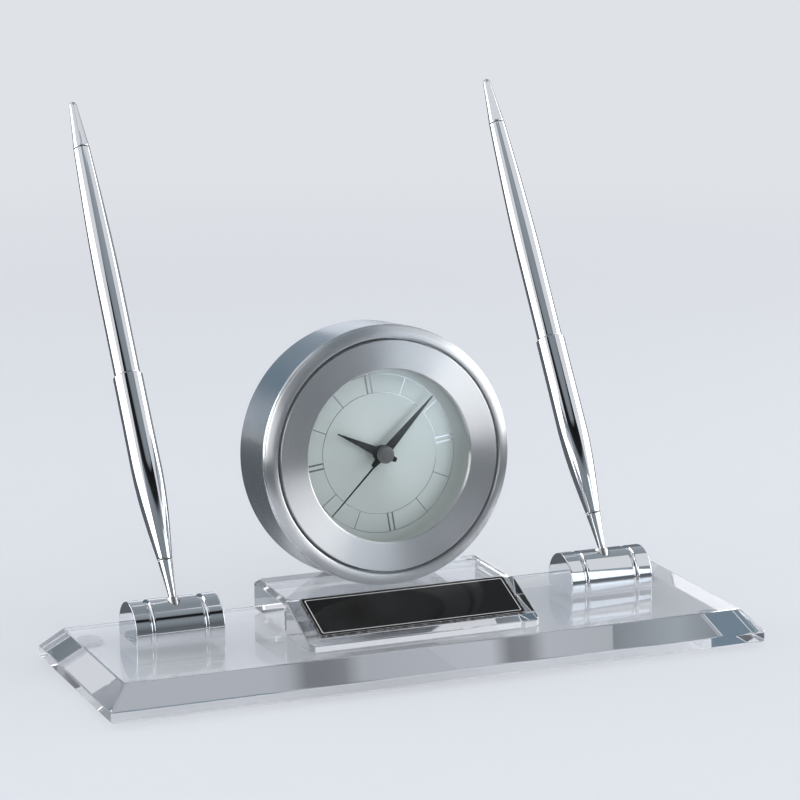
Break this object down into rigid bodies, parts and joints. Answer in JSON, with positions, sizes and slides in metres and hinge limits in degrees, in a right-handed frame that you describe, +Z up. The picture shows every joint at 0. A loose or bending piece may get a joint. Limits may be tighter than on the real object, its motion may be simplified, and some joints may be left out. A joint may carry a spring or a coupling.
{
  "type": "desk clock pen set",
  "caption": "Bevelled clear glass desk base with a round brushed metal clock on a glass block, a sloping black name plate and a chrome holder with a slim chrome pen on each side.",
  "frame": {"origin": "on the surface that the feet stand on, under the middle of the bounding box; the base plate's middle is 31.1 mm in front of it, because the pens lean back", "axes": "+X to the right of someone who reads the clock, +Y to the back, +Z up"},
  "size_m": [0.204, 0.1336, 0.1571],
  "materials": {
    "clear_glass": "polished clear glass",
    "lens_glass": "polished clear glass",
    "clear_rubber": "clear soft rubber",
    "chrome_plate": "polished chrome plate",
    "satin_aluminium": "brushed satin",
    "black_plate": "black with bright polished edges",
    "pale_dial": "pale satin lacquer",
    "black_enamel": "black enamel",
    "steel": "plain steel",
    "brass": "plain brass",
    "copper_wire": "enamelled copper wire",
    "black_plastic": "moulded matte",
    "white_plastic": "moulded matte",
    "board_green": "lacquered board"
  },
  "bodies": {
    "stand": {"base_plate": "clear_glass", "foot_front_left": "clear_rubber", "foot_front_right": "clear_rubber", "foot_rear_left": "clear_rubber", "foot_rear_right": "clear_rubber", "clock_block": "clear_glass", "nameplate_wedge": "clear_glass", "name_plate": "black_plate", "left_holder": "chrome_plate", "right_holder": "chrome_plate", "left_socket_liner": "steel", "right_socket_liner": "steel", "clock_case": "satin_aluminium", "front_ring": "satin_aluminium", "bezel": "satin_aluminium", "lens": "lens_glass", "dial_spacer": "white_plastic", "dial": "pale_dial", "movement_housing": "black_plastic", "movement_cover": "black_plastic", "train_bridge": "white_plastic", "stator": "steel", "coil": "copper_wire", "circuit_board": "board_green", "quartz_crystal": "steel", "button_cell": "steel", "cell_contact_front": "brass", "cell_contact_rear": "brass", "back_cover": "black_plastic", "cover_screw_1": "steel", "cover_screw_2": "steel", "cover_screw_3": "steel", "movement_screw_1": "steel", "movement_screw_2": "steel"},
    "left_pen": {"left_pen_nose": "chrome_plate", "left_pen_front_barrel": "chrome_plate", "left_pen_tail_barrel": "chrome_plate", "left_pen_finial": "chrome_plate", "left_pen_refill": "brass"},
    "right_pen": {"right_pen_nose": "chrome_plate", "right_pen_front_barrel": "chrome_plate", "right_pen_tail_barrel": "chrome_plate", "right_pen_finial": "chrome_plate", "right_pen_refill": "brass"},
    "second_hand": {"second_wheel": "brass", "second_hand": "black_enamel", "hand_cap": "steel"},
    "minute_hand": {"cannon_pinion": "brass", "minute_hand": "black_enamel"},
    "hour_hand": {"hour_wheel": "brass", "hour_hand": "black_enamel"},
    "centre_wheel": {"centre_wheel": "brass"},
    "third_wheel": {"third_wheel": "brass"},
    "intermediate_wheel": {"intermediate_wheel": "white_plastic"},
    "rotor": {"rotor": "steel"},
    "minute_wheel": {"minute_wheel": "white_plastic"},
    "setting_knob": {"setting_knob": "black_plastic"},
    "battery_door": {"battery_door": "black_plastic"}
  },
  "joints": [
    {"name": "left_pen_pull", "type": "slide", "parent": "stand", "child": "left_pen", "axis": [0, 0.5519, 0.8339], "range_m": [0, 0.06]},
    {"name": "right_pen_pull", "type": "slide", "parent": "stand", "child": "right_pen", "axis": [0, 0.5519, 0.8339], "range_m": [0, 0.06]},
    {"name": "second_hand_spin", "type": "hinge", "parent": "stand", "child": "second_hand", "pos_m": [-0.0023, -0.02653, 0.05985], "axis": [0, 0.9936, -0.1132], "continuous": true},
    {"name": "intermediate_wheel_spin", "type": "hinge", "parent": "stand", "child": "intermediate_wheel", "pos_m": [0.00679, -0.02594, 0.06507], "axis": [0, 0.9936, -0.1132], "continuous": true},
    {"name": "rotor_spin", "type": "hinge", "parent": "stand", "child": "rotor", "pos_m": [0.00319, -0.02523, 0.07126], "axis": [0, 0.9936, -0.1132], "continuous": true},
    {"name": "third_wheel_spin", "type": "hinge", "parent": "stand", "child": "third_wheel", "pos_m": [-0.01045, -0.0262, 0.0628], "axis": [0, 0.9936, -0.1132], "continuous": true},
    {"name": "centre_wheel_spin", "type": "hinge", "parent": "stand", "child": "centre_wheel", "pos_m": [-0.0023, -0.02653, 0.05985], "axis": [0, 0.9936, -0.1132], "continuous": true},
    {"name": "minute_hand_spin", "type": "hinge", "parent": "stand", "child": "minute_hand", "pos_m": [-0.0023, -0.02653, 0.05985], "axis": [0, 0.9936, -0.1132], "continuous": true},
    {"name": "minute_wheel_spin", "type": "hinge", "parent": "stand", "child": "minute_wheel", "pos_m": [0.00463, -0.02698, 0.05588], "axis": [0, 0.9936, -0.1132], "continuous": true},
    {"name": "hour_hand_spin", "type": "hinge", "parent": "stand", "child": "hour_hand", "pos_m": [-0.0023, -0.02653, 0.05985], "axis": [0, 0.9936, -0.1132], "continuous": true},
    {"name": "setting_knob_turn", "type": "hinge", "parent": "stand", "child": "setting_knob", "pos_m": [0.01263, -0.02698, 0.05588], "axis": [0, 0.9936, -0.1132], "continuous": true},
    {"name": "battery_door_pull", "type": "slide", "parent": "stand", "child": "battery_door", "axis": [0, 0.9936, -0.1132], "range_m": [0, 0.02]}
  ],
  "couplings": [
    {"joint": "intermediate_wheel_spin", "follows": "second_hand_spin", "ratio": -6},
    {"joint": "rotor_spin", "follows": "second_hand_spin", "ratio": 30},
    {"joint": "third_wheel_spin", "follows": "second_hand_spin", "ratio": -0.13333},
    {"joint": "centre_wheel_spin", "follows": "second_hand_spin", "ratio": 0.016667},
    {"joint": "minute_wheel_spin", "follows": "minute_hand_spin", "ratio": -0.33333},
    {"joint": "hour_hand_spin", "follows": "minute_hand_spin", "ratio": 0.083333},
    {"joint": "setting_knob_turn", "follows": "minute_hand_spin", "ratio": 1}
  ]
}
